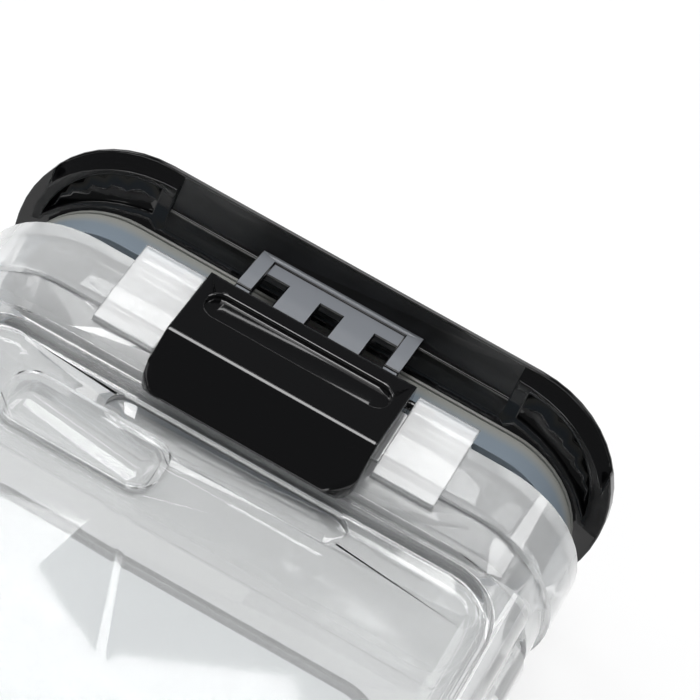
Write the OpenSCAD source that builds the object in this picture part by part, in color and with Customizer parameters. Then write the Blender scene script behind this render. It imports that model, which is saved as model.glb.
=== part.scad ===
// Waterproof phone case: a clear hard box with a hinged black lid, a silicone seal and a lever latch.
// The case lies on its back. X runs across it, Y along it towards the lid, and Z up to the latch side.
// The lid stands a little open, as far as lid_angle says.

/* [Clear case] */
// Width across the collar
case_w = 99; // [96:0.5:112]
// Length from the rim of the mouth to the closed end
case_len = 170; // [150:1:200]
// Depth of the collar from back to front
collar_d = 31.8; // [31:0.2:40]
// Height of the collar below the rim
collar_h = 10.4; // [9.5:0.1:13]
// How far the back of the collar stands above the surface the case lies on
collar_lift = 1.6; // [1.2:0.1:2.4]
// Half width of the soft corner of the collar
collar_corner = 16; // [12:0.5:20]
// Depth of the neck step below the collar
neck_step = 0.8; // [0.4:0.1:1.4]
// Height of the neck below the collar
neck_h = 6.6; // [5:0.2:9]
// Depth of the long side step that leaves a rail along the front
rail_step = 2.9; // [2:0.1:4]
// Distance of the front rails behind the front of the collar
rail_drop = 1.9; // [1.4:0.1:3]
// Height of the wide lower half of the body
hip_h = 24.5; // [20:0.5:27]
// Corner radius of the closed end seen from the front
end_corner = 13; // [8:0.5:20]
// Radius of the closed end seen from the side
end_round = 5; // [2:0.5:6]
// Thickness of the side and end walls of the cavity
side_wall = 5.6; // [4.5:0.1:8]
// Thickness of the front wall at the window
front_wall = 2.2; // [1.6:0.1:3]
// Thickness of the back wall round the screen opening
back_wall = 4; // [3.2:0.1:5]

/* [Mouth] */
// Thickness of the collar wall at the sides of the mouth
mouth_side_wall = 2.8; // [2.2:0.1:3.6]
// Thickness of the collar wall at the front of the mouth
mouth_front_wall = 3.3; // [3:0.1:4]
// Distance from the back of the collar to the mouth, which holds the hinge pocket
mouth_back_wall = 4.8; // [4.6:0.1:6]
// Depth of the wide part of the mouth
mouth_depth = 7; // [5:0.5:9]
// Half width of the soft corner of the mouth
mouth_corner = 15.3; // [11:0.1:18]
// Depth of the front corners of the mouth, which are deeper than the back ones
mouth_corner_front = 15.2; // [11:0.1:15.2]
// Depth of the back corners of the mouth
mouth_corner_back = 8.2; // [5:0.1:8.2]

/* [Front face] */
// Width of the clear window on the front
window_w = 83.2; // [76:0.4:86]
// Width of the groove round the window
groove_w = 1.5; // [1:0.1:2.2]
// Depth of the groove round the window
groove_deep = 1; // [0.5:0.1:1.4]
// Depth of the window below the rails
window_deep = 0.8; // [0.4:0.1:1.2]
// Distance of the window from the rim
window_top = 19.6; // [18.5:0.1:24]
// Distance of the window from the closed end
window_end = 8; // [7:0.5:16]
// Corner radius of the window
window_corner = 7.5; // [5:0.5:12]
// Width of the raised camera cover
bump_w = 25; // [18:0.5:34]
// Height of the raised camera cover along the case
bump_l = 10.2; // [8:0.2:30]
// How far the camera cover stands out of the window
bump_out = 1.2; // [0.6:0.1:1.6]
// Distance of the middle of the camera cover from the middle of the case
bump_x = 19; // [16:0.5:24]
// Distance of the camera cover from the rim
bump_top = 24.8; // [24:0.2:32]
// Corner radius of the camera cover
bump_corner = 3.6; // [2:0.2:5]
// Length of the finger scoop under the latch
scoop_w = 38; // [30:1:44]
// Width of the finger scoop along the case
scoop_l = 5.4; // [4:0.2:6]
// Depth of the finger scoop
scoop_deep = 0.9; // [0.4:0.1:1.2]

/* [Screen film] */
// Width of the opening for the screen
screen_w = 70; // [64:0.5:74]
// Distance of the screen opening from the rim
screen_top = 26; // [23:0.5:34]
// Distance of the screen opening from the closed end
screen_end = 14; // [12:0.5:24]
// Corner radius of the screen opening
screen_corner = 7; // [4:0.5:10]
// Width of the ledge that the film is bonded to
film_ledge = 2; // [1.6:0.1:2.6]
// Thickness of the film
film_t = 0.5; // [0.3:0.1:0.8]
// Depth of the film below the back rim
film_sink = 1.4; // [0.8:0.1:1.8]

/* [Latch] */
// Distance of the latch pin above the rim
pin_up = 2.6; // [2.2:0.1:2.8]
// Radius of the latch pin
pin_r = 0.75; // [0.6:0.05:0.85]
// Length of the latch pin inside each ear
pin_bite = 3; // [2:0.1:6]
// Radius of the ears round the latch pin
ear_r = 1.8; // [1.6:0.05:1.85]
// Width of one ear
ear_w = 9.9; // [8:0.1:10.5]
// Length of the ears below the rim
ear_len = 13.1; // [11:0.1:15]
// How far the ears stand out of the collar
ear_out = 0.35; // [0.2:0.05:0.6]
// Width of the latch lever
lever_w = 33.6; // [32:0.2:36]
// Clearance between the lever and each ear
lever_gap = 0.7; // [0.4:0.1:1]
// Distance of the top edge of the lever in front of its pin
lever_top_out = 5.5; // [5.3:0.1:6]
// Distance of the top edge of the lever below its pin
lever_top_down = 1; // [0.8:0.1:1.4]
// Distance of the ridge of the lever below its pin
ridge_down = 15.6; // [14:0.1:17]
// Distance of the ridge of the lever in front of its pin
ridge_out = 7.4; // [7:0.1:8]
// Distance of the bottom edge of the lever below its pin
toe_down = 23.4; // [21:0.1:25]
// Distance of the bottom edge of the lever in front of its pin
toe_out = 2; // [1.6:0.1:3]
// Wall of the front plate of the lever
lever_wall = 1.6; // [1.3:0.05:1.6]
// Thickness of the side cheeks of the lever
cheek_t = 2.6; // [2:0.1:2.8]
// Corner radius at the bottom of the lever
toe_corner = 4; // [2:0.5:6]
// Length of the finger groove
grip_l = 29.6; // [24:0.2:30.6]
// Width of the finger groove
grip_w = 5; // [3:0.1:5.4]
// Depth of the finger groove
grip_deep = 1.1; // [0.4:0.05:1.15]
// Distance of the finger groove below the top edge of the lever
grip_down = 5.6; // [4.5:0.1:7]

/* [Lid] */
// Angle that the lid stands open at
lid_angle = 16; // [14:0.5:17]
// How far each side of the lid is set in from the side of the collar
lid_side_in = 0.25; // [0.25:0.05:1]
// How far the front of the lid stands over the collar
lid_over = 6.4; // [6.2:0.1:7]
// How far the back of the lid is set in from the back of the collar
lid_back_in = 0.4; // [0.4:0.1:0.8]
// Half width of the soft corner of the lid
lid_corner = 18.5; // [15:0.5:22]
// Distance of the bottom edge of the closed lid above the rim
lid_gap = 4.3; // [4.2:0.1:5]
// Height of the skirt of the lid below its top plate
skirt_h = 1.5; // [1.4:0.1:2.4]
// Thickness of the top plate
top_t = 1.2; // [1:0.1:1.6]
// Size of the sloped edge round the top plate
top_edge = 0.5; // [0.2:0.05:0.6]
// Width of the skirt
skirt_w = 3.3; // [2.6:0.1:4]
// How far the front of the skirt is set in from the top plate
skirt_in = 0.8; // [0.4:0.1:1.2]
// Width of the flush part of the skirt beyond each step
flush_w = 2.85; // [2:0.05:5]
// Clearance between the notch in the front of the skirt and each ear
notch_gap = 0.9; // [0.4:0.1:2]
// How far the foot of the skirt is set in along the front
foot_in = 1.9; // [1.2:0.1:2]
// Thickness of the wall between the notch and each recess in the corners
recess_wall = 2.3; // [1.2:0.1:3]
// Width of the ring wall outside the seal at the front
ring_w = 2.9; // [2.4:0.1:3.2]
// Width of the ring wall outside the seal at the sides
ring_side = 2.3; // [1.6:0.1:2.4]
// Half width of the front corners of the ring wall
ring_corner = 22; // [18:0.5:24]
// Depth of the front corners of the ring wall
ring_corner_front = 19; // [15:0.5:19]
// How far the bar in the notch rises to its front
bar_rise = 0.8; // [0.7:0.05:1]
// Depth of the plug inside the mouth when the lid is closed
plug_deep = 3.2; // [2.4:0.1:4]
// Wall of the plug
plug_wall = 1.8; // [1.4:0.1:2.4]
// Number of ribs across the plug
plug_ribs = 5; // [5:1:7]
// Thickness of the ribs in the plug
rib_t = 1.2; // [0.8:0.1:1.6]

/* [Keeper] */
// Width of the keeper tongue
keeper_w = 26.8; // [24:0.2:26.8]
// Thickness of the keeper tongue
keeper_t = 1.2; // [1:0.1:1.4]
// Reach of the keeper tongue below the rim when the lid is closed
keeper_reach = 7.4; // [6:0.1:8]
// Width of the posts at the sides of the keeper tongue
post_w = 2.6; // [1.4:0.1:2.8]
// How far the posts stand out of the keeper tongue
post_out = 0.3; // [0.2:0.05:0.4]
// Width of one keeper window
slot_w = 3.5; // [2.4:0.1:3.8]
// Distance between keeper windows
slot_pitch = 9; // [7.5:0.1:9.1]
// Height of one keeper window
slot_h = 7; // [4:0.1:7.4]

/* [Seal] */
// Thickness of the silicone seal
seal_t = 1.8; // [1.2:0.1:2.2]
// Clearance between the seal and the sides and back of the mouth
seal_gap = 0.25; // [0.2:0.05:0.4]
// Clearance between the seal and the front of the mouth
seal_front_gap = 0.6; // [0.5:0.05:0.8]
// Depth of the groove under the top lip of the seal
seal_groove = 0.4; // [0.2:0.05:0.6]
// Height of the top lip of the seal
seal_lip_h = 0.6; // [0.4:0.1:1]

/* [Hinge] */
// Radius of the hinge knuckles
knuckle_r = 2.2; // [2.1:0.05:2.3]
// Radius of the hinge pin
hinge_pin_r = 0.8; // [0.7:0.05:0.9]
// Distance of the hinge pin above the rim
hinge_up = 0.5; // [0.3:0.1:0.6]
// Length of the hinge across the case
hinge_w = 60; // [50:1:64]
// Length of one lid knuckle
lid_knuckle_w = 10; // [8:0.5:12]
// Distance of the middle of each lid knuckle from the middle of the case
lid_knuckle_x = 17; // [15:0.5:18]
// Clearance beside and round the lid knuckles
hinge_gap = 0.3; // [0.2:0.05:0.4]
// Running clearance of a bore round its pin
run_gap = 0.06; // [0.04:0.01:0.08]
// Clearance of a bore that holds its pin
hold_gap = 0.02; // [0.01:0.005:0.03]

/* [Hidden] */
$fn = 48;
corner_steps = 12;
join = 0.01;
past = 1;

collar_back = collar_lift;
collar_front = collar_back + collar_d;
half_w = case_w / 2;
hinge_z = knuckle_r;
lid_front = collar_front + lid_over;
lid_back = collar_back + lid_back_in;
lid_half = half_w - lid_side_in;
flush_x = lid_half - flush_w;
ceiling = lid_gap + skirt_h;
lid_top = ceiling + top_t;

mouth_half = half_w - mouth_side_wall;
mouth_front = collar_front - mouth_front_wall;
mouth_back = collar_back + mouth_back_wall;

seal_half = mouth_half - seal_gap;
seal_front = mouth_front - seal_front_gap;
seal_back = mouth_back + seal_gap;
seal_corner = mouth_corner - seal_gap;
seal_corner_front = mouth_corner_front - seal_front_gap;
seal_corner_back = mouth_corner_back - seal_gap;
ring_front = seal_front + ring_w;
keeper_back = collar_front + 0.15;

lid_reach = hinge_up + (lid_top - hinge_up) * cos(lid_angle) + (lid_front - hinge_z) * sin(lid_angle);
mouth_y = (case_len - lid_reach) / 2;

rail_top = collar_front - rail_drop;
window_z = rail_top - window_deep;
cavity_top = window_z - front_wall;
cavity_half = half_w - side_wall;
neck_end = collar_h + neck_h;

pin_z = mouth_front + ear_r + 0.05;
lever_half = lever_w / 2;
ear_in = lever_half + lever_gap;
ear_out_x = ear_in + ear_w;
ear_front = collar_front + ear_out;
notch_half = ear_out_x + notch_gap;
recess_from = notch_half + recess_wall;

// Points of one quarter of an oval corner
function quarter(cx, cy, rx, ry, a0) =
    [for (i = [0:corner_steps]) let (a = a0 + 90 * i / corner_steps) [cx + rx * cos(a), cy + ry * sin(a)]];

// Outline of a slab with oval corners, from back to front in its second coordinate
function soft_outline(half, back, front, rx, rf, rb) =
    let (x = half - rx, b = back + rb, f = front - rf)
    concat(quarter(x, f, rx, rf, 0), quarter(-x, f, rx, rf, 90), quarter(-x, b, rx, rb, 180), quarter(x, b, rx, rb, 270));

// Depth of the oval corner: as deep as the slab allows
function deep(back, front, rx) = min(rx, (front - back) / 2 - 0.05);

// A 2D shape drawn across the case, run along Y from one height above the rim to another
module along(y0, y1) {
    translate([0, y1, 0]) rotate([90, 0, 0]) linear_extrude(y1 - y0) children();
}

// A slab with oval corners that lies across the case
module soft_slab(half, back, front, rx, y0, y1) {
    r = deep(back, front, rx);
    along(y0, y1) polygon(soft_outline(half, back, front, rx, r, r));
}

// A plate with round corners in the plane of the window, centred on x
module plate(w, y0, y1, r, z0, z1, x = 0) {
    translate([x, 0, z0]) linear_extrude(z1 - z0) {
        translate([-w / 2 + r, y0]) square([w - 2 * r, y1 - y0]);
        translate([-w / 2, y0 + r]) square([w, y1 - y0 - 2 * r]);
        for (sx = [-1, 1], y = [y0 + r, y1 - r]) translate([sx * (w / 2 - r), y]) circle(r);
    }
}

// A straight box given by its two corners
module block(a, b) {
    translate(a) cube(b - a);
}

// A rod across the case, at a height above the rim and a height above the surface
module rod(x0, x1, r, y, z) {
    translate([x0, y, z]) rotate([0, 90, 0]) cylinder(h = x1 - x0, r = r);
}

// Turns what is drawn for the closed lid to where the lid stands
module open_lid() {
    translate([0, hinge_up, hinge_z]) rotate([-lid_angle, 0, 0]) translate([0, -hinge_up, -hinge_z]) children();
}

// Places the rim of the mouth, from which all heights along the case are counted
module at_mouth() {
    translate([0, mouth_y, 0]) children();
}

// Body below the neck, with a rail along each side of the front
module body_block() {
    intersection() {
        union() {
            soft_slab(half_w - 0.2, 0, hip_h, 9, -case_len, -neck_end + join);
            soft_slab(half_w - rail_step - 0.2, 3, rail_top, 5, -case_len, -neck_end + join);
        }
        plate(case_w, -case_len, end_corner, end_corner, -past, collar_front + past);
        across(-half_w, half_w) {
            for (z = [end_round, rail_top - end_round]) translate([-case_len + end_round, z]) circle(end_round);
            translate([-case_len, end_round]) square([case_len, rail_top - 2 * end_round]);
            translate([-case_len + end_round, 0]) square([case_len, rail_top]);
        }
    }
}

// Neck and collar round the mouth
module collar_block() {
    soft_slab(half_w, collar_back, collar_front, collar_corner, -collar_h, 0);
    soft_slab(half_w - neck_step, collar_back, collar_front - neck_step, collar_corner, -neck_end, -collar_h + join);
}

// One ear that carries the latch pin, on the +X side
module ear() {
    block([ear_in, -ear_len, collar_front - mouth_front_wall], [ear_out_x, join, ear_front]);
    block([ear_in, 0, pin_z - ear_r], [ear_out_x, pin_up, pin_z + ear_r]);
    rod(ear_in, ear_out_x, ear_r, pin_up, pin_z);
}

// Window set into the front, and the groove round it
module front_frame_cuts() {
    w = window_w + 2 * groove_w;
    bottom = -case_len + window_end;
    plate(w, bottom - groove_w, -window_top + groove_w, window_corner + groove_w, window_z, rail_top + past);
    difference() {
        plate(w, bottom - groove_w, -window_top + groove_w, window_corner + groove_w,
              window_z - groove_deep, rail_top + past);
        plate(window_w, bottom, -window_top, window_corner, window_z - groove_deep - past, rail_top + 2 * past);
    }
}

// Camera cover, raised out of the window and hollow behind
module camera_cover(grow, z0, z1) {
    plate(bump_w + 2 * grow, -bump_top - bump_l - grow, -bump_top + grow, bump_corner + grow, z0, z1, -bump_x);
}

// Pocket in the collar for one lid knuckle, on the +X side
module knuckle_pocket() {
    half = lid_knuckle_w / 2 + hinge_gap;
    rod(lid_knuckle_x - half, lid_knuckle_x + half, knuckle_r + hinge_gap, hinge_up, hinge_z);
}

module case_shell() color([0.86, 0.9, 0.92, 0.45]) at_mouth() {
    half_screen = screen_w / 2;
    difference() {
        union() {
            body_block();
            collar_block();
            for (m = [0, 1]) mirror([m, 0, 0]) ear();
            rod(-hinge_w / 2, hinge_w / 2, knuckle_r, hinge_up, hinge_z);
        }
        front_frame_cuts();
        along(-mouth_depth, past) polygon(soft_outline(mouth_half, mouth_back, mouth_front, mouth_corner,
                                                       mouth_corner_front, mouth_corner_back));
        soft_slab(cavity_half, back_wall, cavity_top, 6, -case_len + side_wall, -mouth_depth + join);
        plate(scoop_w, -window_top - scoop_l - 0.6, -window_top - 0.6, scoop_l / 2 - join,
              window_z - scoop_deep, rail_top + past);
        plate(screen_w, -case_len + screen_end, -screen_top, screen_corner, -past, back_wall + past);
        plate(screen_w + 2 * film_ledge, -case_len + screen_end - film_ledge, -screen_top + film_ledge,
              screen_corner + film_ledge, -past, film_sink + film_t);
        camera_cover(-1.2, cavity_top - past, window_z);
        for (m = [0, 1]) mirror([m, 0, 0]) {
            knuckle_pocket();
            rod(ear_in - past, ear_in + pin_bite + 0.2, pin_r + hold_gap, pin_up, pin_z);
        }
        block([-ear_in, -collar_h - past, collar_front - ear_out], [ear_in, past, collar_front + past]);
        rod(-hinge_w / 2 - past, hinge_w / 2 + past, hinge_pin_r + hold_gap, hinge_up, hinge_z);
    }
    difference() {
        camera_cover(0, window_z - join, window_z + bump_out);
        camera_cover(-1.2, window_z - past, window_z + bump_out - 1);
    }
}

module screen_film() color([0.8, 0.86, 0.9, 0.35]) at_mouth() {
    edge = film_ledge - 0.1;
    plate(screen_w + 2 * edge, -case_len + screen_end - edge, -screen_top + edge, screen_corner + edge,
          film_sink, film_sink + film_t);
}

module latch_pin() color([0.06, 0.06, 0.07]) at_mouth() {
    rod(-ear_in - pin_bite, ear_in + pin_bite, pin_r, pin_up, pin_z);
}

module hinge_pin() color("silver") at_mouth() {
    rod(-hinge_w / 2 + 0.4, hinge_w / 2 - 0.4, hinge_pin_r, hinge_up, hinge_z);
}

// Side view of the lever: distance above the rim, then height above the surface
module lever_side(wall = 0) {
    top_y = pin_up - lever_top_down;
    polygon([
        [top_y, pin_z + lever_top_out - wall],
        [pin_up - ridge_down, pin_z + ridge_out - wall],
        [pin_up - toe_down, pin_z + toe_out - wall],
        [pin_up - toe_down + 1, pin_z + toe_out - 0.9 - wall],
        [pin_up - ridge_down + 2, ear_front + 0.3 - wall],
        [top_y - 1.4, ear_front + 0.3 - wall]
    ]);
}

// Runs a side view across the case between two places
module across(x0, x1) {
    translate([x0, 0, 0]) rotate([90, 0, 90]) linear_extrude(x1 - x0) children();
}

// One cheek of the lever with its eye, on the +X side
module cheek() {
    across(lever_half - cheek_t, lever_half) {
        lever_side();
        polygon([
            [pin_up + ear_r * 0.75, pin_z],
            [pin_up - lever_top_down, pin_z + lever_top_out],
            [pin_up - lever_top_down - 1.8, pin_z + lever_top_out - 2],
            [pin_up - ear_r * 0.9, pin_z]
        ]);
    }
    rod(lever_half - cheek_t, lever_half, ear_r - 0.05, pin_up, pin_z);
}

module latch_lever() color([0.06, 0.06, 0.07]) at_mouth() {
    facet = atan2(ridge_out - lever_top_out, ridge_down - lever_top_down);
    grip_y = pin_up - lever_top_down - grip_down;
    grip_z = pin_z + lever_top_out + (ridge_out - lever_top_out) * grip_down / (ridge_down - lever_top_down);
    difference() {
        intersection() {
            union() {
                difference() {
                    across(-lever_half, lever_half) lever_side();
                    across(-lever_half + cheek_t, lever_half - cheek_t) lever_side(lever_wall);
                }
                for (m = [0, 1]) mirror([m, 0, 0]) cheek();
                for (i = [-1, 0, 1])
                    block([i * slot_pitch - slot_w / 2 + 0.4, -6.4, pin_z + 3.4],
                          [i * slot_pitch + slot_w / 2 - 0.4, -4.6, pin_z + lever_top_out]);
            }
            plate(lever_w, pin_up - toe_down, pin_up + 4, toe_corner, 0, lid_front + past);
        }
        translate([0, grip_y, grip_z]) rotate([-facet, 0, 0])
            plate(grip_l, -grip_w / 2, grip_w / 2, grip_w / 2 - join, -grip_deep, past);
        rod(-lever_half - past, lever_half + past, pin_r + run_gap, pin_up, pin_z);
    }
}

// Outline of the lid, smaller by what is given
module lid_outline(less = 0) {
    back = lid_back + less;
    front = lid_front - less;
    rx = lid_corner - less;
    r = deep(back, front, rx);
    polygon(soft_outline(lid_half - less, back, front, rx, r, r));
}

// Outline of the seal, larger by what is given
module seal_outline(more = 0) {
    polygon(soft_outline(seal_half + more, seal_back - more, seal_front + more,
                         seal_corner + more, seal_corner_front + more, seal_corner_back + more));
}

// Outline of the ring wall, whose front corners are wider than the seal's
module ring_outline() {
    deepest = (ring_front - lid_back) / 2;
    polygon(soft_outline(seal_half + ring_side, lid_back + 1, ring_front, ring_corner,
                         min(ring_corner_front, deepest + 4), min(seal_corner_back + 2, deepest - 5)));
}

// Outline of the foot of the skirt, set in along the front
module foot_outline() {
    front = lid_front - foot_in;
    r = deep(lid_back + skirt_in, front, lid_corner + 1.5);
    polygon(soft_outline(lid_half - skirt_in, lid_back + skirt_in, front, lid_corner + 1.5, r, r));
}

// Skirt: its front slopes in to the foot, and beyond the two steps it is flush with the top plate
module skirt() {
    middle = (lid_back + lid_front) / 2;
    hull() {
        along(ceiling, ceiling + join) lid_outline(skirt_in / 2);
        along(lid_gap, lid_gap + join) foot_outline();
    }
    along(lid_gap, ceiling + join) difference() {
        lid_outline();
        translate([-flush_x, middle]) square([2 * flush_x, lid_front]);
    }
}

// Rounded bar of the ring wall that shows in the notch, with the keeper hanging from its front
module notch_bar() {
    across(-notch_half, notch_half) polygon([
        [ceiling + join, keeper_back + join],
        [lid_gap + bar_rise, keeper_back + join],
        [lid_gap + bar_rise * 0.35, keeper_back - 1.4],
        [lid_gap, keeper_back - 2.7],
        [ceiling + join, keeper_back - 2.7]
    ]);
}

// Keeper tongue with three windows between two posts
module keeper() {
    back = keeper_back;
    difference() {
        union() {
            block([-keeper_w / 2, -keeper_reach, back], [keeper_w / 2, ceiling + join, back + keeper_t]);
            for (m = [0, 1]) mirror([m, 0, 0])
                block([keeper_w / 2 - post_w, -keeper_reach + 2, back],
                      [keeper_w / 2, ceiling + join, back + keeper_t + post_out]);
        }
        for (i = [-1, 0, 1])
            block([i * slot_pitch - slot_w / 2, -keeper_reach + 1.3, back - past],
                  [i * slot_pitch + slot_w / 2, -keeper_reach + 1.3 + slot_h, back + keeper_t + past]);
    }
}

// One lid knuckle with the arm that carries it, on the +X side
module lid_knuckle() {
    x0 = lid_knuckle_x - lid_knuckle_w / 2;
    x1 = x0 + lid_knuckle_w;
    rod(x0, x1, knuckle_r, hinge_up, hinge_z);
    block([x0, hinge_up, lid_back], [x1, ceiling + join, hinge_z + knuckle_r]);
}

module lid_cap() color([0.07, 0.07, 0.08]) at_mouth() open_lid() {
    plug = seal_t;
    inner = seal_t + plug_wall;
    difference() {
        union() {
            hull() {
                along(ceiling, lid_top - top_edge) lid_outline();
                along(lid_top - join, lid_top) lid_outline(top_edge);
            }
            skirt();
            along(-plug_deep, ceiling + join) seal_outline(-plug);
            keeper();
            notch_bar();
            for (m = [0, 1]) mirror([m, 0, 0]) lid_knuckle();
        }
        along(lid_gap - past, ceiling) difference() {
            lid_outline(skirt_w);
            ring_outline();
            translate([-lid_half, lid_back - past]) square([2 * lid_half, (lid_front - lid_back) / 2]);
            translate([-recess_from, lid_back]) square([2 * recess_from, lid_front]);
        }
        along(lid_gap - past, ceiling) difference() {
            translate([-notch_half, keeper_back]) square([2 * notch_half, lid_over * 3]);
            translate([-keeper_w / 2, keeper_back]) square([keeper_w, keeper_t + post_out]);
        }
        across(-notch_half, notch_half) polygon([
            [lid_gap - past, keeper_back - 2.7],
            [lid_gap, keeper_back - 2.7],
            [lid_gap + bar_rise * 0.35, keeper_back - 1.4],
            [lid_gap + bar_rise, keeper_back],
            [lid_gap - past, keeper_back]
        ]);
        difference() {
            along(-plug_deep - past, ceiling) seal_outline(-inner);
            for (i = [1:plug_ribs]) {
                x = (i - (plug_ribs + 1) / 2) * 2 * seal_half / (plug_ribs + 1);
                block([x - rib_t / 2, -plug_deep + 1, 0], [x + rib_t / 2, ceiling + past, lid_front]);
            }
        }
        rod(-hinge_w, hinge_w, hinge_pin_r + run_gap, hinge_up, hinge_z);
    }
}

module lid_seal() color([0.62, 0.65, 0.66]) at_mouth() open_lid() {
    lip = lid_gap - seal_lip_h;
    difference() {
        union() {
            along(lip, lid_gap) seal_outline();
            along(lip - seal_lip_h, lip + join) seal_outline(-seal_groove);
            along(-plug_deep, lip - seal_lip_h + join) seal_outline();
        }
        along(-plug_deep - past, lid_gap + past) seal_outline(-seal_t);
    }
}

case_shell();
screen_film();
latch_lever();
latch_pin();
lid_cap();
lid_seal();
hinge_pin();
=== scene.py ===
"""Waterproof phone case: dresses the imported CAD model, lays it on a pale floor and lights it."""
import math

import bmesh
import bpy
from mathutils import Matrix, Quaternion, Vector


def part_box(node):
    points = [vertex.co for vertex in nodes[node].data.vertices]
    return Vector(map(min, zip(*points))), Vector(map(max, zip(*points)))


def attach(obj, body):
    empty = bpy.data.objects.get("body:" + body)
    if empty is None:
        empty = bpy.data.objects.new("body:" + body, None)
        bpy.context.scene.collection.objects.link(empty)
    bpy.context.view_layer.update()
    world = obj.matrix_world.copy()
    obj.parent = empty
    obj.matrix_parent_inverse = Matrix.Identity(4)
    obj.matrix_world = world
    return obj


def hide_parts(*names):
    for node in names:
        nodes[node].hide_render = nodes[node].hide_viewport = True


bl_info = {
    "name": "Waterproof Phone Case",
    "version": (1, 0, 0),
    "blender": (4, 5, 0),
    "location": "3D View > Sidebar > Phone Case",
    "description": "Dresses a clear waterproof phone case with its lid, seal and latch",
    "category": "Object",
}

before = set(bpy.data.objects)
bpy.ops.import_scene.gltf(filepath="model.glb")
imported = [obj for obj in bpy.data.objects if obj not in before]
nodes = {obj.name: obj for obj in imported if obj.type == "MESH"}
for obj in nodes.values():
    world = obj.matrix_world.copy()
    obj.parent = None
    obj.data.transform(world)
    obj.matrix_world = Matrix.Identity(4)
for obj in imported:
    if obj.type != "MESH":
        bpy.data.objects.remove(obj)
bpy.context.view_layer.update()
MM = 0.001

# Places that the pieces share with the CAD model, in metres. The ears reach 4.4 mm above the rim of the mouth.
RIM_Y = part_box("case_shell")[1].y - 4.4 * MM
HINGE = Vector((0, RIM_Y + 0.5 * MM, 2.2 * MM))
LID_ANGLE = math.radians(16)
LATCH = Vector((0, RIM_Y + 2.6 * MM, 31.95 * MM))

# Where the keeper's face and the notch lie on the closed lid: half width, then back and front. On the keeper's face
# the grey is a painted reflection of a softbox on the black plastic
KEEPER_HALF, KEEPER_FACE = 13.4 * MM, (34.3 * MM, 35.3 * MM)
NOTCH_HALF, NOTCH_DEPTH = 28.3 * MM, (31.0 * MM, 39.2 * MM)
# Nearer the back than this the lid's edges stay sharp, so that its knuckles keep their shape
LID_EDGES_FROM = 8 * MM

# Where the shell's edges stay sharp: the pocket behind the camera cover, the hinge, and the pin's holes in the ears
POCKET_Y, POCKET_Z = (RIM_Y - 37 * MM, RIM_Y - 23 * MM), (27 * MM, 30.4 * MM)
HINGE_FROM_Y, HINGE_HIGH = RIM_Y - 4 * MM, 5 * MM
HOLE_X, HOLE_HALF, HOLE_REACH = 19 * MM, 2.5 * MM, 1 * MM

# Section of the lever's front, in millimetres from its pin: top edge, ridge and bottom edge
LEVER_FRONT = ((-1, 5.5), (-15.6, 7.4), (-23.4, 2.0))
LEVER_CORNER_X, LEVER_CORNER_DOWN = 12.9 * MM, 19.5 * MM
ON_FACE = 0.05 * MM

# How the CAD's triangles become plain faces with rounded edges
WELD_MM = 0.002
SLIVER_MM = 0.02
SAME_PLANE = math.radians(0.3)
SHARP_EDGE = math.radians(22)
CREASE = math.radians(50)
BEVEL_STEPS = 3

# The gloss of the plastics
PLASTIC_IOR = 1.54
POLYCARBONATE_IOR = 1.585

# How much of the floor's white is its own when it is seen: the rest takes the shadow
GLOW_SHARE = 0.8
FLOOR_M = 6.0

# Strength of the room as light, seen through the clear plastic, and mirrored in the gloss
ROOM_LIGHT, ROOM_THROUGH, ROOM_MIRRORED = 0.35, 0.95, 0.12

# The photograph's camera: turns about Z, X and Y in radians, place in millimetres, focal length and width in pixels
PHOTO_TURNS = (("Z", -0.5954), ("X", -0.718), ("Y", -0.1285))
PHOTO_PLACE_MM = (-5.1335, 3.4874, -441.85)
PHOTO_ORIGIN_Z = 39.8 * MM
PHOTO_FOCAL_PX, PHOTO_WIDTH_PX, SENSOR_MM = 3143.6, 700, 36


def colour(text):
    """Linear colour from an sRGB hex value."""
    parts = [int(text[i:i + 2], 16) / 255 for i in (1, 3, 5)]
    return [c / 12.92 if c <= 0.04045 else ((c + 0.055) / 1.055) ** 2.4 for c in parts] + [1.0]


def add_node(tree, kind, settings=None, **links):
    """Adds a node, sets its properties and sockets, and links sockets given by name."""
    node = tree.nodes.new(kind)
    for key, value in (settings or {}).items():
        if hasattr(node, key):
            setattr(node, key, value)
        else:
            node.inputs[key].default_value = value
    for key, source in links.items():
        tree.links.new(source, node.inputs[key.replace("_", " ")])
    return node


def new_material(name):
    """An empty node material and its tree."""
    material = bpy.data.materials.new(name)
    material.use_nodes = True
    material.node_tree.nodes.clear()
    return material, material.node_tree


def finish_material(tree, shader):
    """Ends a material in its output."""
    add_node(tree, "ShaderNodeOutputMaterial", Surface=shader.outputs[0])


def grain(tree, size_mm, detail=2.0):
    """Noise whose patches have a real size on the object."""
    place = add_node(tree, "ShaderNodeTexCoord")
    return add_node(tree, "ShaderNodeTexNoise", {"Scale": 1 / (size_mm * MM), "Detail": detail},
                    Vector=place.outputs["Object"])


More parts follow.
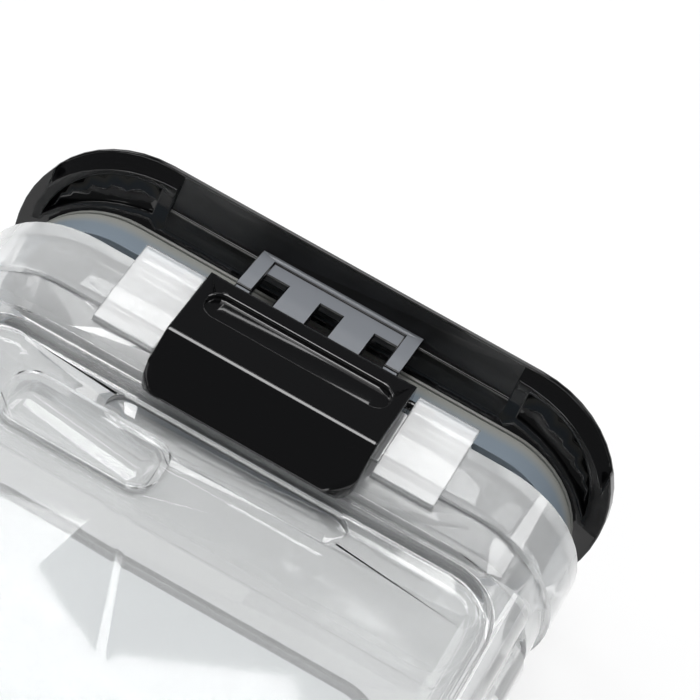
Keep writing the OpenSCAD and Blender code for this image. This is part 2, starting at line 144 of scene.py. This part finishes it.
def clear_polycarbonate(tint):
    """Injection moulded polycarbonate: high gloss with slow waves, clear at the window and milkier at the collar."""
    material, tree = new_material("polycarbonate_clear")
    waves = grain(tree, 12.0, 1.0)
    bump = add_node(tree, "ShaderNodeBump", {"Strength": 0.15, "Distance": 0.0002}, Height=waves.outputs["Fac"])
    haze = add_node(tree, "ShaderNodeMapRange", {"To Min": 0.02, "To Max": 0.08}, Value=waves.outputs["Fac"])
    place = add_node(tree, "ShaderNodeTexCoord")
    along = add_node(tree, "ShaderNodeSeparateXYZ", Vector=place.outputs["Object"])
    clear = add_node(tree, "ShaderNodeMapRange",
                     {"From Min": RIM_Y - 19 * MM, "From Max": RIM_Y - 11 * MM, "To Min": 0.78, "To Max": 0.66},
                     Value=along.outputs["Y"])
    shader = add_node(tree, "ShaderNodeBsdfPrincipled",
                      {"Base Color": colour(tint), "IOR": 1.22,
                       "Coat Weight": 1.0, "Coat IOR": POLYCARBONATE_IOR, "Coat Roughness": 0.03},
                      Roughness=haze.outputs[0], Normal=bump.outputs[0], Transmission_Weight=clear.outputs[0])
    finish_material(tree, shader)
    return material


def black_abs(tint):
    """High gloss moulded ABS: near black, with a mirror skin that is a little uneven and faintly rubbed."""
    material, tree = new_material("abs_gloss_black")
    skin = grain(tree, 2.5, 2.0)
    bump = add_node(tree, "ShaderNodeBump", {"Strength": 0.08, "Distance": 0.0001}, Height=skin.outputs["Fac"])
    rub = grain(tree, 14.0, 4.0)
    gloss = add_node(tree, "ShaderNodeMapRange", {"To Min": 0.04, "To Max": 0.12}, Value=rub.outputs["Fac"])
    shader = add_node(tree, "ShaderNodeBsdfPrincipled",
                      {"Base Color": colour(tint), "IOR": PLASTIC_IOR},
                      Roughness=gloss.outputs[0], Normal=bump.outputs[0])
    finish_material(tree, shader)
    return material


def shared_black(scene):
    """The gloss black of the lid and the latch, made once."""
    return bpy.data.materials.get("abs_gloss_black") or black_abs(scene.case_colours.black)


def satin_abs(name, tint):
    """Spark eroded ABS: a fine satin face that spreads the light, so that it looks even beside the gloss. A grey
    tint on it is a painted reflection: it stands in for a softbox mirrored in black plastic.
    """
    material, tree = new_material(name)
    cloud = grain(tree, 3.0, 3.0)
    fine = grain(tree, 0.12, 1.0)
    bump = add_node(tree, "ShaderNodeBump", {"Strength": 0.2, "Distance": 0.00005}, Height=fine.outputs["Fac"])
    dull = add_node(tree, "ShaderNodeMapRange", {"To Min": 0.32, "To Max": 0.42}, Value=cloud.outputs["Fac"])
    shader = add_node(tree, "ShaderNodeBsdfPrincipled", {"Base Color": colour(tint), "IOR": PLASTIC_IOR},
                      Roughness=dull.outputs[0], Normal=bump.outputs[0])
    finish_material(tree, shader)
    return material


def grey_silicone(tint, painted_shade_tint):
    """Moulded silicone rubber: milky and satin, warm grey by the lid, with painted shade, darker and bluer, on its
    foot where it meets the clear mouth.
    """
    material, tree = new_material("silicone_milky")
    cloud = grain(tree, 5.0, 3.0)
    shade = add_node(tree, "ShaderNodeMapRange", {"To Min": 0.28, "To Max": 0.42}, Value=cloud.outputs["Fac"])
    place = add_node(tree, "ShaderNodeTexCoord")
    height = add_node(tree, "ShaderNodeVectorMath", {"operation": "DOT_PRODUCT"})
    height.inputs[1].default_value = (0, math.cos(LID_ANGLE), -math.sin(LID_ANGLE))
    tree.links.new(place.outputs["Object"], height.inputs[0])
    zero = HINGE.y * math.cos(LID_ANGLE) - HINGE.z * math.sin(LID_ANGLE)
    # Painted shade: low on the seal, by the mouth, the colour turns darker and bluer, fading to the seal's grey over
    # 2 mm of height
    above_painted_shade = add_node(tree, "ShaderNodeMapRange", {"From Min": zero - 0.4 * MM, "From Max": zero + 1.6 * MM},
                    Value=height.outputs["Value"])
    body = tree.nodes.new("ShaderNodeMix")
    body.data_type = "RGBA"
    body.inputs["A"].default_value = colour(painted_shade_tint)
    body.inputs["B"].default_value = colour(tint)
    tree.links.new(above_painted_shade.outputs[0], body.inputs["Factor"])
    fine = grain(tree, 0.5, 2.0)
    bump = add_node(tree, "ShaderNodeBump", {"Strength": 0.1, "Distance": 0.0001}, Height=fine.outputs["Fac"])
    shader = add_node(tree, "ShaderNodeBsdfPrincipled",
                      {"Transmission Weight": 0.3, "IOR": 1.41},
                      Base_Color=body.outputs["Result"], Roughness=shade.outputs[0], Normal=bump.outputs[0])
    finish_material(tree, shader)
    return material


def clear_film(tint):
    """Thin polyurethane film: clear and slightly slack, so its gloss is broken by shallow waves."""
    material, tree = new_material("polyurethane_film")
    slack = grain(tree, 22.0, 1.0)
    bump = add_node(tree, "ShaderNodeBump", {"Strength": 0.3, "Distance": 0.0004}, Height=slack.outputs["Fac"])
    shader = add_node(tree, "ShaderNodeBsdfPrincipled",
                      {"Base Color": colour(tint), "Transmission Weight": 1.0, "IOR": 1.5, "Roughness": 0.08},
                      Normal=bump.outputs[0])
    finish_material(tree, shader)
    return material


def ground_steel(tint):
    """Centreless ground stainless steel: bright, with fine rings round the pin."""
    material, tree = new_material("stainless_steel_ground")
    place = add_node(tree, "ShaderNodeTexCoord")
    rings = add_node(tree, "ShaderNodeTexWave",
                     {"wave_type": "BANDS", "bands_direction": "X", "Scale": 1 / (1.5 * MM), "Distortion": 2.0},
                     Vector=place.outputs["Object"])
    dull = add_node(tree, "ShaderNodeMapRange", {"To Min": 0.18, "To Max": 0.34}, Value=rings.outputs["Fac"])
    shader = add_node(tree, "ShaderNodeBsdfPrincipled",
                      {"Base Color": colour(tint), "Metallic": 1.0}, Roughness=dull.outputs[0])
    finish_material(tree, shader)
    return material


def pale_floor(tint):
    """Matt paper sweep: seen white, and it still takes the shadow of the case."""
    material, tree = new_material("paper_sweep")
    fibres = grain(tree, 0.6, 2.0)
    bump = add_node(tree, "ShaderNodeBump", {"Strength": 0.02, "Distance": 0.0001}, Height=fibres.outputs["Fac"])
    paper = add_node(tree, "ShaderNodeBsdfDiffuse", {"Color": colour(tint)}, Normal=bump.outputs[0])
    glow = add_node(tree, "ShaderNodeEmission", {"Color": (1, 1, 1, 1), "Strength": 1.0})
    seen = add_node(tree, "ShaderNodeLightPath")
    either = add_node(tree, "ShaderNodeMath", {"operation": "MAXIMUM"})
    any_ray = add_node(tree, "ShaderNodeMath", {"operation": "MAXIMUM"})
    part = add_node(tree, "ShaderNodeMath", {"operation": "MULTIPLY"})
    part.inputs[1].default_value = GLOW_SHARE
    mixed = tree.nodes.new("ShaderNodeMixShader")
    for source, target in (
            (seen.outputs["Is Camera Ray"], either.inputs[0]),
            (seen.outputs["Is Glossy Ray"], either.inputs[1]),
            (either.outputs[0], any_ray.inputs[0]),
            (seen.outputs["Is Transmission Ray"], any_ray.inputs[1]),
            (any_ray.outputs[0], part.inputs[0]),
            (part.outputs[0], mixed.inputs[0]),
            (paper.outputs[0], mixed.inputs[1]),
            (glow.outputs[0], mixed.inputs[2])):
        tree.links.new(source, target)
    finish_material(tree, mixed)
    return material


def deselect():
    """Nothing selected and no object active, so that an operator acts only on what comes next."""
    if bpy.context.object and bpy.context.object.mode != "OBJECT":
        bpy.ops.object.mode_set(mode="OBJECT")
    bpy.ops.object.select_all(action="DESELECT")
    bpy.context.view_layer.objects.active = None


def make_active(obj):
    """Selects one object alone."""
    deselect()
    obj.select_set(True)
    bpy.context.view_layer.objects.active = obj


def give(obj, material):
    """The only material of an object."""
    obj.data.materials.clear()
    obj.data.materials.append(material)


def apply_modifier(obj, kind, **settings):
    """Adds a modifier, sets it and applies it."""
    make_active(obj)
    modifier = obj.modifiers.new(kind.title(), kind)
    for key, value in settings.items():
        setattr(modifier, key, value)
    bpy.ops.object.modifier_apply(modifier=modifier.name)


def closed_lid(point):
    """Where a point of the open lid lies when the lid is shut."""
    return Matrix.Rotation(LID_ANGLE, 3, "X") @ (point - HINGE) + HINGE


def softened_copy(node, name, width_mm, wanted=None):
    """A CAD node's copy with plain faces, and with its wanted edges rounded as a mould leaves them."""
    deselect()
    piece = nodes[node].copy()
    piece.data = nodes[node].data.copy()
    piece.name = name
    for key in list(piece.keys()):
        if key.startswith("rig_"):
            del piece[key]
    piece.parent = None
    bpy.context.collection.objects.link(piece)
    make_active(piece)
    bpy.ops.object.mode_set(mode="EDIT")
    bpy.ops.mesh.select_all(action="SELECT")
    bpy.ops.mesh.remove_doubles(threshold=WELD_MM * MM)
    bpy.ops.mesh.dissolve_limited(angle_limit=SAME_PLANE)
    # Faces with many sides are split, because those with holes would tear when their edges are rounded
    bpy.ops.mesh.select_mode(type="FACE")
    bpy.ops.mesh.select_face_by_sides(number=4, type="GREATER", extend=False)
    bpy.ops.mesh.quads_convert_to_tris(quad_method="BEAUTY", ngon_method="BEAUTY")
    bpy.ops.object.mode_set(mode="OBJECT")
    shape = bmesh.new()
    shape.from_mesh(piece.data)
    weights = shape.edges.layers.float.new("bevel_weight_edge")
    for edge in shape.edges:
        sharp = edge.is_convex and edge.calc_face_angle(0) > SHARP_EDGE
        if sharp and (wanted is None or all(wanted(v.co) for v in edge.verts)):
            edge[weights] = 1.0
    shape.to_mesh(piece.data)
    shape.free()
    apply_modifier(piece, "BEVEL", width=width_mm * MM, segments=BEVEL_STEPS, limit_method="WEIGHT",
                   use_clamp_overlap=False, harden_normals=False)
    make_active(piece)
    bpy.ops.object.mode_set(mode="EDIT")
    bpy.ops.mesh.select_all(action="SELECT")
    bpy.ops.mesh.dissolve_degenerate(threshold=SLIVER_MM * MM)
    bpy.ops.object.mode_set(mode="OBJECT")
    bpy.ops.object.shade_smooth_by_angle(angle=CREASE)
    # Large flat faces then mirror as flat ones, up to their rounded edges
    apply_modifier(piece, "WEIGHTED_NORMAL", mode="FACE_AREA", weight=100, keep_sharp=True)
    return piece


class CaseSizes(bpy.types.PropertyGroup):
    """Sizes of the case's finish that a user may change."""

    shell_edge: bpy.props.FloatProperty(
        name="Shell edge", description="Radius on the edges of the clear shell, in millimetres",
        default=0.25, min=0.1, max=1.0)
    lid_edge: bpy.props.FloatProperty(
        name="Lid edge", description="Radius on the edges of the lid, in millimetres",
        default=0.25, min=0.1, max=1.0)
    lever_edge: bpy.props.FloatProperty(
        name="Lever edge", description="Radius on the edges of the latch lever, in millimetres",
        default=0.45, min=0.1, max=1.0)
    seal_edge: bpy.props.FloatProperty(
        name="Seal edge", description="Radius on the edges of the seal, in millimetres",
        default=0.12, min=0.1, max=0.2)


class CaseColours(bpy.types.PropertyGroup):
    """Colours of the case, as sRGB hex values."""

    shell: bpy.props.StringProperty(name="Shell", description="Tint of the clear shell", default="#FAFBFB")
    black: bpy.props.StringProperty(
        name="Black plastic", description="Colour of the lid and the lever", default="#09090A")
    seal: bpy.props.StringProperty(name="Seal", description="Colour of the silicone seal", default="#A5A6A1")
    # The seal's foot colour is painted shade: darker and bluer where the seal sits in the shadow by the clear mouth
    seal_foot_painted_shade: bpy.props.StringProperty(
        name="Seal's foot", description="Colour of the seal's lower part", default="#8995A0")
    # The keeper's grey is a painted reflection: the lid is black, and this grey stands in for a softbox mirrored in
    # its face
    keeper_painted_reflection: bpy.props.StringProperty(name="Keeper", description="Colour of the keeper's face", default="#777A7F")
    film: bpy.props.StringProperty(name="Film", description="Tint of the screen film", default="#F2F6F8")
    steel: bpy.props.StringProperty(name="Steel", description="Colour of the pins", default="#BFC1C3")
    floor: bpy.props.StringProperty(name="Floor", description="Colour of the floor", default="#F4F4F4")


class CASE_OT_shell(bpy.types.Operator):
    """Dresses the clear shell and its film"""

    bl_idname = "phone_case.shell"
    bl_label = "Clear shell"

    def execute(self, context):
        scene = context.scene
        clear = clear_polycarbonate(scene.case_colours.shell)
        shell = softened_copy("case_shell", "clear_shell", scene.case_sizes.shell_edge, self.shows)
        give(shell, clear)
        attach(shell, "case")
        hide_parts("case_shell")
        give(nodes["screen_film"], clear_film(scene.case_colours.film))
        return {"FINISHED"}

    def shows(self, point):
        """True on edges in view: not round the hinge, in the pin's holes, nor round the pocket behind the cover."""
        round_pocket = (point.x < 0 and POCKET_Y[0] < point.y < POCKET_Y[1]
                        and POCKET_Z[0] < point.z < POCKET_Z[1])
        round_hinge = point.z < HINGE_HIGH and point.y > HINGE_FROM_Y
        in_hole = (abs(abs(point.x) - HOLE_X) < HOLE_HALF and abs(point.y - LATCH.y) < HOLE_REACH
                   and abs(point.z - LATCH.z) < HOLE_REACH)
        return not (round_hinge or in_hole or round_pocket)


class CASE_OT_lid(bpy.types.Operator):
    """Dresses the black lid and its seal"""

    bl_idname = "phone_case.lid"
    bl_label = "Lid and seal"

    def execute(self, context):
        scene = context.scene
        black = shared_black(scene)
        lid = softened_copy("lid_cap", "lid", scene.case_sizes.lid_edge,
                            lambda point: closed_lid(point).z > LID_EDGES_FROM)
        give(lid, black)
        # Painted reflection: the keeper's front faces get an even grey for a softbox mirrored in the black lid; the
        # notch's ceiling gets a satin black
        lid.data.materials.append(satin_abs("abs_black_painted_reflection", scene.case_colours.keeper_painted_reflection))
        lid.data.materials.append(satin_abs("abs_satin_black", scene.case_colours.black))
        for face in lid.data.polygons:
            place = closed_lid(face.center)
            facing = closed_lid(face.center + face.normal) - place
            if facing.z > 0.99 and abs(place.x) < KEEPER_HALF and KEEPER_FACE[0] < place.z < KEEPER_FACE[1]:
                face.material_index = 1
            elif facing.y < -0.3 and abs(place.x) < NOTCH_HALF and NOTCH_DEPTH[0] < place.z < NOTCH_DEPTH[1]:
                face.material_index = 2
        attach(lid, "lid")
        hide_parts("lid_cap")
        seal = softened_copy("lid_seal", "plug_seal", scene.case_sizes.seal_edge)
        give(seal, grey_silicone(scene.case_colours.seal, scene.case_colours.seal_foot_painted_shade))
        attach(seal, "lid")
        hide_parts("lid_seal")
        return {"FINISHED"}


class CASE_OT_latch(bpy.types.Operator):
    """Dresses the latch lever and the pins"""

    bl_idname = "phone_case.latch"
    bl_label = "Latch and pins"

    def execute(self, context):
        scene = context.scene
        black = shared_black(scene)
        lever = softened_copy("latch_lever", "lever", scene.case_sizes.lever_edge, self.in_front)
        give(lever, black)
        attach(lever, "latch")
        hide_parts("latch_lever")
        steel = ground_steel(scene.case_colours.steel)
        give(nodes["latch_pin"], black)
        give(nodes["hinge_pin"], steel)
        return {"FINISHED"}

    def in_front(self, point):
        """True on the lever's two front faces, which meet at its ridge, but not at its round bottom corners."""
        if abs(point.x) > LEVER_CORNER_X and point.y < LATCH.y - LEVER_CORNER_DOWN:
            return False
        top, ridge, toe = [(LATCH.y + y * MM, LATCH.z + z * MM) for y, z in LEVER_FRONT]
        for a, b in ((top, ridge), (ridge, toe)):
            run, rise = b[0] - a[0], b[1] - a[1]
            off = ((point.y - a[0]) * rise - (point.z - a[1]) * run) / math.hypot(run, rise)
            if abs(off) < ON_FACE:
                return True
        return False


class CASE_OT_stage(bpy.types.Operator):
    """Adds the floor, the soft lights and the camera"""

    bl_idname = "phone_case.stage"
    bl_label = "Stage"

    def execute(self, context):
        scene = context.scene
        deselect()
        bpy.ops.mesh.primitive_plane_add(size=FLOOR_M, location=(0, 0, 0))
        floor = context.object
        floor.name = "floor"
        bpy.ops.object.mode_set(mode="EDIT")
        bpy.ops.mesh.subdivide(number_cuts=3)
        bpy.ops.object.mode_set(mode="OBJECT")
        give(floor, pale_floor(scene.case_colours.floor))
        self.world(scene)
        # Name, place, aim, width, height, roll in degrees, brightness of its face
        lamps = [
            ("key_softbox", (-0.85, 0.35, 0.75), (0, 0.05, 0.02), 0.6, 0.6, 0, 5.0),
            ("fill_softbox", (0.75, 0.65, 0.8), (0, 0.05, 0.02), 0.5, 0.5, 0, 4.0),
            ("collar_strip", (-0.066, 0.457, 0.488), (0, 0.071, 0.033), 0.168, 0.038, -8.0, 4.5),
            ("keeper_strip", (-0.085, 0.845, 0.245), (0, 0.08, 0.036), 0.19, 0.07, 0, 3.0),
            ("overhead_softbox", (-0.09, 0.27, 0.806), (0, 0.08, 0.036), 0.3, 0.36, 0, 9.0),
            ("bar_strip", (-0.1, -0.89, 0.16), (0, 0.089, 0.03), 0.6, 0.16, 0, 3.0),
        ]
        for name, place, aim, width, height, roll, face in lamps:
            power = face * math.pi * width * height
            bpy.ops.object.light_add(type="AREA", location=place)
            lamp = context.object
            lamp.name = name
            lamp.data.shape = "RECTANGLE"
            lamp.data.size = width
            lamp.data.size_y = height
            lamp.data.energy = power
            turn = (Vector(aim) - Vector(place)).to_track_quat("-Z", "Y")
            lamp.rotation_euler = (turn @ Quaternion((0, 0, 1), math.radians(roll))).to_euler()
        self.camera(scene)
        return {"FINISHED"}

    def world(self, scene):
        """An even grey room: its light is soft and the gloss on black plastic stays dark."""
        world = bpy.data.worlds.new("grey_room")
        scene.world = world
        world.use_nodes = True
        tree = world.node_tree
        tree.nodes.clear()
        seen = add_node(tree, "ShaderNodeLightPath")
        behind = add_node(tree, "ShaderNodeMapRange", {"To Min": ROOM_LIGHT, "To Max": ROOM_THROUGH},
                          Value=seen.outputs["Is Transmission Ray"])
        level = tree.nodes.new("ShaderNodeMix")
        tree.links.new(seen.outputs["Is Glossy Ray"], level.inputs["Factor"])
        tree.links.new(behind.outputs[0], level.inputs["A"])
        level.inputs["B"].default_value = ROOM_MIRRORED
        room = add_node(tree, "ShaderNodeBackground", {"Color": (0.95, 0.97, 1.0, 1)}, Strength=level.outputs[0])
        add_node(tree, "ShaderNodeOutputWorld", Surface=room.outputs[0])

    def camera(self, scene):
        """The photograph's view: about 162 mm of focal length from 0.44 m away."""
        first, second, third = [Matrix.Rotation(angle, 3, axis) for axis, angle in PHOTO_TURNS]
        turn = first @ second @ third
        place = Vector(PHOTO_PLACE_MM) * MM
        data = bpy.data.cameras.new("photo_view")
        camera = bpy.data.objects.new("photo_view", data)
        scene.collection.objects.link(camera)
        data.sensor_width = SENSOR_MM
        data.lens = PHOTO_FOCAL_PX / PHOTO_WIDTH_PX * SENSOR_MM
        origin = Vector((0, RIM_Y, PHOTO_ORIGIN_Z))
        back = turn.transposed()
        camera.matrix_world = Matrix.Translation(origin - back @ place) @ back.to_4x4()
        scene.camera = camera


class CASE_PT_panel(bpy.types.Panel):
    """Lists the sizes, the colours and the steps of the phone case"""

    bl_label = "Phone Case"
    bl_idname = "CASE_PT_panel"
    bl_space_type = "VIEW_3D"
    bl_region_type = "UI"
    bl_category = "Phone Case"

    def draw(self, context):
        layout = self.layout
        for group in (context.scene.case_sizes, context.scene.case_colours):
            for key in group.__annotations__:
                layout.prop(group, key)
        for operator in (CASE_OT_shell, CASE_OT_lid, CASE_OT_latch, CASE_OT_stage):
            layout.operator(operator.bl_idname)


CLASSES = (CaseSizes, CaseColours, CASE_OT_shell, CASE_OT_lid, CASE_OT_latch, CASE_OT_stage, CASE_PT_panel)


def register():
    for cls in CLASSES:
        bpy.utils.register_class(cls)
    bpy.types.Scene.case_sizes = bpy.props.PointerProperty(type=CaseSizes)
    bpy.types.Scene.case_colours = bpy.props.PointerProperty(type=CaseColours)


def unregister():
    del bpy.types.Scene.case_colours
    del bpy.types.Scene.case_sizes
    for cls in reversed(CLASSES):
        bpy.utils.unregister_class(cls)


def main():
    register()
    bpy.context.scene.view_settings.view_transform = "Standard"
    deselect()
    bpy.ops.phone_case.shell()
    bpy.ops.phone_case.lid()
    bpy.ops.phone_case.latch()
    bpy.ops.phone_case.stage()
    deselect()


if __name__ == "__main__":
    main()
